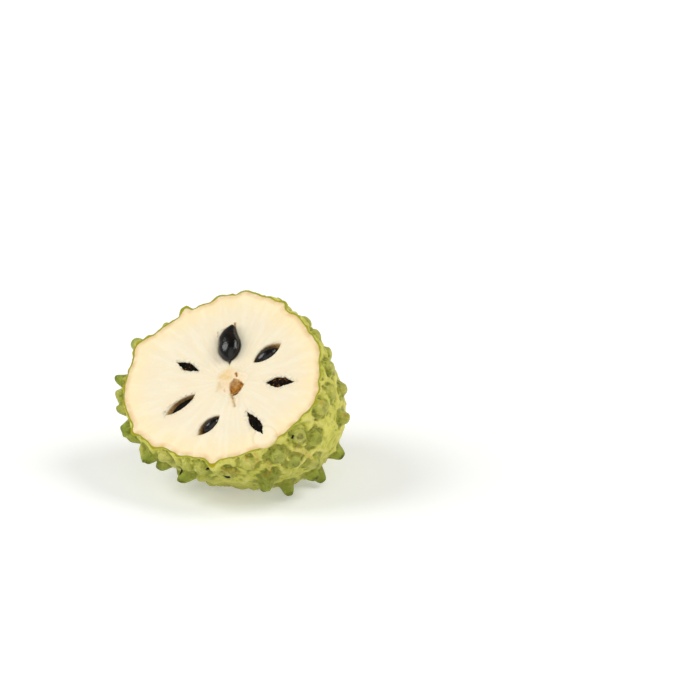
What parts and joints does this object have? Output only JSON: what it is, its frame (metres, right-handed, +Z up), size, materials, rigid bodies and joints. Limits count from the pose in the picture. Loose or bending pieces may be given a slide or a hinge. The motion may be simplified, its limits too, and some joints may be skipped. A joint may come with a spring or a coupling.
{
  "type": "soursop half",
  "caption": "Half of a green soft-spined annona fruit, lying on its rind, cut face up with creamy pulp, a tan core and glossy black seeds in their pockets.",
  "frame": {"origin": "on the surface it rests on, under the middle of its bounding box", "axes": "+Z up; the cut face looks up and towards -Y and -X, and the stem end is low at +X +Y"},
  "size_m": [0.1206, 0.1033, 0.0893],
  "materials": {
    "rind": "yellow-green skin with darker green spines, pale seams and a grey bloom, satin",
    "flesh": "moist creamy pulp, soft and slightly translucent, pinkish tan under the skin",
    "core": "tan fibrous heart with a brown pit, dull",
    "seed": "black seed coat, glossy",
    "stalk": "dry brown stalk stub, rough"
  },
  "bodies": {
    "root": {"rind": "rind", "flesh": "flesh", "core": "core", "seed_1": "seed", "seed_2": "seed", "seed_3": "seed", "seed_4": "seed", "seed_5": "seed", "seed_6": "seed", "seed_7": "seed", "stalk": "stalk"}
  },
  "joints": []
}
